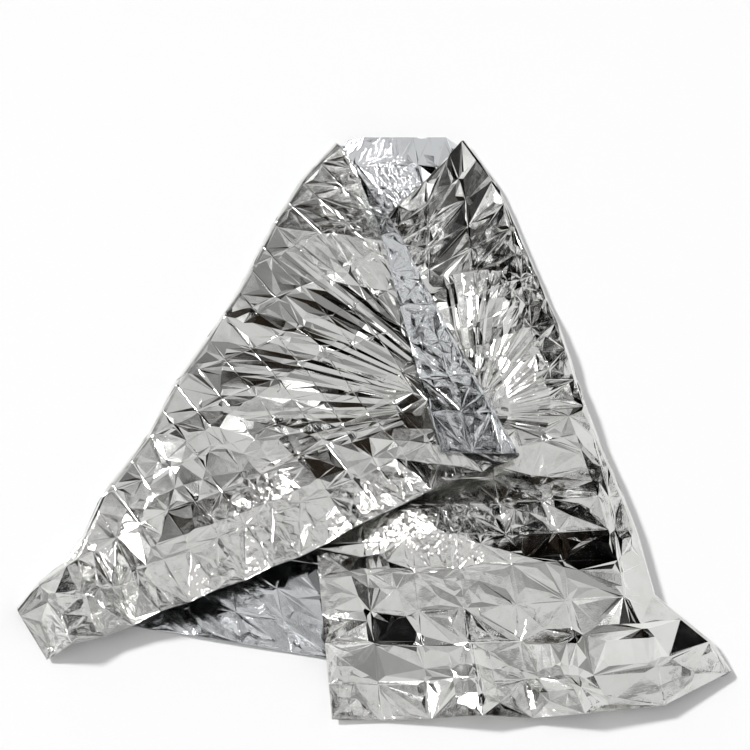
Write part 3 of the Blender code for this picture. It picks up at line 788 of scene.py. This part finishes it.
# %% [markdown]
# ## The film: the smallest facets
# Aluminium on polyester is almost a mirror, so what is seen is the room, broken up by the facets. The
# finish is therefore made of slopes: the mesh has the folds and the larger facets, and the material adds
# what is finer. Cells of a Voronoi texture tilt the normal, each its own way, for the smallest facets. A
# bump from a noise would bend the mirror softly instead, like water.

# %% The film's material: facets
film_material, surface, board = new_material("silver_film")
surface.inputs["Metallic"].default_value = 1.0
place = board.node("Attribute", {"attribute_name": "flat"}, output="Vector")
crinkled = board.node("Attribute", {"attribute_name": "crinkle"}, output="Fac")


def cloud(scale, detail, output="Fac"):
    """A noise on the flat coordinates."""
    return board.node("TexNoise", {"noise_dimensions": "2D"},
                      {"Vector": place, "Scale": scale, "Detail": detail}, output)


def shaken(scale, amount):
    """The flat coordinates, pushed about by up to an amount in metres, so that no border stays straight."""
    push = board.vector("SUBTRACT", cloud(scale, 2.0, "Color"), (0.5, 0.5, 0.5))
    return board.vector("MULTIPLY_ADD", push, (amount,) * 3, place)


def tilts(size, shake):
    """A random direction for each cell of a size in metres."""
    cells = board.node("TexVoronoi", {"voronoi_dimensions": "2D"},
                       {"Vector": shaken(0.7 / size, shake), "Scale": 1 / size}, "Color")
    return board.vector("SUBTRACT", cells, (0.5, 0.5, 0.5))


CELLS = [
    # size, shake of the borders, tilt that crinkle adds, tilt everywhere
    (0.022, 0.020, 0.10, 0.010),
    (0.0075, 0.008, 0.14, 0.005),
]
own_normal = board.node("NewGeometry", output="Normal")
large_cells, small_cells = (tilts(size, shake).scaled(crinkled * more + least)
                            for size, shake, more, least in CELLS)
both_cells = board.vector("ADD", large_cells, small_cells)
tilted = board.vector("NORMALIZE", board.vector("ADD", own_normal, both_cells))
print("Nodes for the facets:", len(film_material.node_tree.nodes))

# %% [markdown]
# ## The film: wrinkles, pack creases and grain
# Folded waves in three directions give long straight wrinkles where the film is handled most. The pack
# creases are pressed in as narrow grooves on the flat coordinates, deep where they are worn, and a fine
# grain blurs the mirror a little. All of it is one height in metres for a Bump node, on top of the tilted
# facets.

# %% The film's material: wrinkles, pack creases and grain
GROOVE_WIDTH = 0.0022
along_u, along_v = (board.node("SeparateXYZ", sockets={"Vector": place}, output=axis) for axis in "XY")


def wrinkles(angle, length, depth):
    """Sharp folded waves of a length and a depth in metres, running in a direction given in degrees."""
    direction = (math.cos(math.radians(angle)), math.sin(math.radians(angle)), 0.0)
    across = board.node("VectorMath", {"operation": "DOT_PRODUCT"},
                        {0: shaken(9.0, 0.05), 1: direction}, "Value")
    return board.math("PINGPONG", across, length / 2) * (2 * depth / length)


def groove(across, pitch, depth):
    """A narrow groove at every multiple of a pitch across the sheet."""
    away = board.math("PINGPONG", across, pitch / 2)
    return (1 - away.step(0.0, GROOVE_WIDTH)) * -depth


patchy = cloud(7.0, 3.0)
worn = patchy.step(0.40, 0.60)
where_wrinkled = patchy.step(0.50, 0.68) * crinkled.step(0.05, 0.6)
waves = wrinkles(24, 0.027, 0.0011) + wrinkles(-52, 0.041, 0.0014) + wrinkles(83, 0.034, 0.0012)
grooves = groove(along_u + HALF_LENGTH, COLUMN, 0.0003) + groove(along_v, ROW, 0.0004)
grain = cloud(420.0, 3.0) * (crinkled * 0.0005 + 0.00004)
relief = waves * where_wrinkled + grooves * worn + grain
bumpy = board.node("Bump", sockets={"Strength": 1.0, "Distance": 1.0, "Height": relief, "Normal": tilted})
plug(surface, "Normal", bumpy)
print("Nodes with the relief:", len(film_material.node_tree.nodes))

# %% [markdown]
# ## The film: colour and blur
# Aluminium is a bright grey that is a little warm, and it dulls in patches where it has been touched. The
# inner side, on the back and the lapel, gets painted shade: a darker colour with a cool painted reflection
# in it. A Metallic of 1 makes the base colour the tint of the mirror. The roughness stays low, and rises
# where the film is crinkled, because the smallest wrinkles scatter the light.

# %% The film's material: colour and blur
# The third colour is painted shade with a cool painted reflection, for the back and the lapel.
OUTER_BRIGHT, OUTER_DULL, PAINTED_INNER_SHADE = (0.86, 0.86, 0.84, 1.0), (0.81, 0.81, 0.785, 1.0), (0.79, 0.81, 0.83, 1.0)
ROUGHNESS, DULL_ADDS, CRINKLE_ADDS = 0.07, 0.07, 0.05
dull = cloud(24.0, 5.0)
plug(surface, "Roughness", dull.step(0.3, 0.8, after=DULL_ADDS) + crinkled * CRINKLE_ADDS + ROUGHNESS)
inner_side = board.node("Attribute", {"attribute_name": "inner_side"}, output="Fac")
outer_colour = dull.step(0.35, 0.75).mix(OUTER_BRIGHT, OUTER_DULL)
# The back and the lapel get the painted shade colour instead of the outer one.
plug(surface, "Base Color", inner_side.mix(outer_colour, PAINTED_INNER_SHADE))
film.materials.append(film_material)
print("Nodes in all:", len(film_material.node_tree.nodes))

# %% [markdown]
# ## The floor
# The blanket lies on a plain pale floor that runs past the edges of the picture. A floor of a few metres
# would do for the camera, but its far edge would show in the film as a line, so it is much larger. It
# belongs to the picture and not to the part.

# %% Floor
FLOOR_HALF = 20.0
floor_mesh = bpy.data.meshes.new("studio_floor")
floor_corners = [(FLOOR_HALF * x, FLOOR_HALF * y, 0) for x, y in ((-1, -1), (1, -1), (1, 1), (-1, 1))]
floor_mesh.from_pydata(floor_corners, [], [(0, 1, 2, 3)])
floor = bpy.data.objects.new("studio_floor", floor_mesh)
bpy.context.collection.objects.link(floor)
floor_material, floor_surface, _ = new_material("pale_floor")
floor_surface.inputs["Base Color"].default_value = (0.98, 0.98, 0.98, 1.0)
floor_surface.inputs["Roughness"].default_value = 0.6
floor_surface.inputs["Specular IOR Level"].default_value = 0.2
floor_mesh.materials.append(floor_material)
print("Floor:", 2 * FLOOR_HALF, "metres wide")

# %% [markdown]
# ## The room
# A mirror shows its room, so the room matters as much as the metal. A picture of a real room would put
# strange shapes into the film, and a plain grey one would leave it dull, so this studio is drawn in a few
# broad bands. Each direction is turned into an angle, 0 degrees at the floor beyond the neck, 90 overhead
# and 180 behind the camera, and into a distance aside. A slow noise shifts both, so that no border in the
# film is straight.

# %% The room: angles and bands
world = bpy.data.worlds.new("studio")
world.use_nodes = True
bpy.context.scene.world = world
air = Wire(world.node_tree)
direction = air.node("TexCoord", output="Generated")
aside, ahead, up = (air.node("SeparateXYZ", sockets={"Vector": direction}, output=axis) for axis in "XYZ")
drift = air.node("TexNoise", {}, {"Vector": direction, "Scale": 2.6, "Detail": 2.0}, "Fac") - 0.5
BAND_DRIFT = 29.0    # degrees, from the noise's largest shift one way to its largest the other way
angle = air.math("ARCTAN2", up, ahead) * (180 / math.pi)

DARK = (0.022, 0.016, 0.011)
BANDS = [
    # angle, colour
    (0, (0.75,) * 3), (9, (0.60,) * 3), (14, DARK), (38, DARK), (46, (0.42,) * 3), (55, (0.62,) * 3),
    (75, (0.68,) * 3), (105, (0.70,) * 3), (122, (0.38,) * 3), (140, (0.25,) * 3), (178, (0.90,) * 3),
]
stops = [(at / 180, colour) for at, colour in BANDS]
bands = air.node("ValToRGB", {"stops": stops}, {"Fac": (angle + drift * BAND_DRIFT) * (1 / 180)}, "Color")
print("Bands in the room:", len(BANDS))

# %% [markdown]
# ## Shades and windows
# Real studios have dark cloths and bright panels beside the set. Here they are patches of the same sky,
# each from one place aside and one angle to another: shades that darken the bands, and windows that are
# bright whatever the band behind them. Cards could stand round the sheet instead, but they would throw
# shadows. A low white wall runs all round, so that a picture from the side has a plain background.

# %% The room: shades, windows and panels
SHADES = [
    # from aside, to aside, from angle, to angle, share of the light taken away
    (0.33, 2.00, -360, 90, 0.85),      # for the right side
    (0.14, 2.00, -360, 67, 0.92),      # for the rows below the clasp
    (-0.18, -0.03, 61, 74, 0.72),      # for the bottom opening
    (-2.00, -0.74, -360, 100, 0.85),   # for the far left end
]
WINDOWS = [
    # from aside, to aside, from angle, to angle, light
    (-0.72, -0.25, -360, 35, 0.74),   # for the left side
    (0.58, 2.00, -360, 360, 0.80),    # for the right silhouette
    (0.02, 0.11, 45, 61, 1.10),       # for the lapel
]
WALL_LIGHT, WALL_TOP = (1.0, 1.0, 1.0, 1.0), (0.03, 0.10)
DIMMEST_PANEL, PANELS_END = 0.48, (74, 85)
PATCH_DRIFT_ASIDE, PATCH_DRIFT = 0.10, 9.0
SOFT_ASIDE, SOFT = 0.03, 3    # half the width of a patch's border
shifted_aside, shifted_angle = aside + drift * PATCH_DRIFT_ASIDE, angle + drift * PATCH_DRIFT


def between(position, low, high, soft):
    """1 between two positions and 0 outside them, with soft borders."""
    return position.step(low - soft, low + soft) * (1 - position.step(high - soft, high + soft))


def patch(aside_from, aside_to, angle_from, angle_to, strength=1.0):
    """A wire of the given strength in one patch of the room and 0 outside it, with soft borders."""
    within_aside = between(shifted_aside, aside_from, aside_to, SOFT_ASIDE)
    return within_aside * between(shifted_angle, angle_from, angle_to, SOFT) * strength


panels = air.node("TexNoise", {}, {"Vector": direction, "Scale": 5.0, "Detail": 1.0}, "Fac").step(0.42, 0.52)
panels = air.math("MAXIMUM", panels, shifted_angle.step(*PANELS_END))
light = panels * (1 - DIMMEST_PANEL) + DIMMEST_PANEL
for shade in SHADES:
    light = light * (1 - patch(*shade))
sky = bands.scaled(light)
for *borders, window_light in WINDOWS:
    sky = patch(*borders).mix(sky, (window_light, window_light, window_light, 1.0))
background = world.node_tree.nodes["Background"]
above_wall = up.step(*WALL_TOP)
plug(background, "Color", above_wall.mix(WALL_LIGHT, sky))
background.inputs["Strength"].default_value = 1.0
print("Nodes in the room:", len(world.node_tree.nodes))

# %% [markdown]
# ## The lights
# Most of the light comes from the room. A soft sun from the left, beyond the neck, throws the faint shadow
# below the hem and sets sparks on the sharpest wrinkles. Its disc is nine degrees wide, because the real
# one, half a degree, would draw hard shadows. A narrow softbox stands where the flat facets of the lapel
# show it, as a bright streak. A wide one would turn the whole lapel white.

# %% A key lamp and a strip softbox


def lamp(kind, name, place, target, twist=0.0, **settings):
    """A light that faces a target, turned round its own axis by a twist in degrees."""
    light = bpy.data.lights.new(name, kind)
    for setting, value in settings.items():
        setattr(light, setting, value)
    made = bpy.data.objects.new(name, light)
    made.location = place
    made.rotation_mode = "QUATERNION"
    facing = (Vector(target) - Vector(place)).to_track_quat("-Z", "Y")
    made.rotation_quaternion = facing @ Quaternion((0, 0, 1), math.radians(twist))
    bpy.context.collection.objects.link(made)
    print("Light:", name, "at", place)


lamp("SUN", "key_lamp", (-2.9, 1.5, 3.0), (0, 0, 0), energy=2.4, angle=math.radians(9))
lamp("AREA", "strip_softbox", (0.27, 1.95, 2.85), (0.10, 0.20, 0.07), twist=24, shape="RECTANGLE", energy=1.8,
     size=0.26, size_y=0.8)

# %% [markdown]
# ## The camera
# A cape that stands up is seen from the side. Laid out on the floor it has the same outline from above, so
# the camera looks down steeply, from the hem's side. From straight overhead the folds would lose their
# height. The view is a plain one, without depth of field, and the view transform is Standard, which keeps
# white paper white.

# %% Camera
LENS = 60
TARGET = Vector((-0.04, 0.09, 0.03))
ELEVATION, DISTANCE = 60.0, 2.70
back = Vector((0, -math.cos(math.radians(ELEVATION)), math.sin(math.radians(ELEVATION))))
camera = bpy.data.objects.new("camera", bpy.data.cameras.new("camera"))
camera.data.lens = LENS
camera.location = TARGET + back * DISTANCE
camera.rotation_mode = "QUATERNION"
camera.rotation_quaternion = (-back).to_track_quat("-Z", "Y")
bpy.context.collection.objects.link(camera)
bpy.context.scene.camera = camera
bpy.context.scene.view_settings.view_transform = "Standard"
print("Camera at", rounded(camera.location), "with a lens of", LENS, "mm")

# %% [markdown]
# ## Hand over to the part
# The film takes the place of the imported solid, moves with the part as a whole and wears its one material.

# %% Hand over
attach(foil, "root")
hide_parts("foil_sheet")
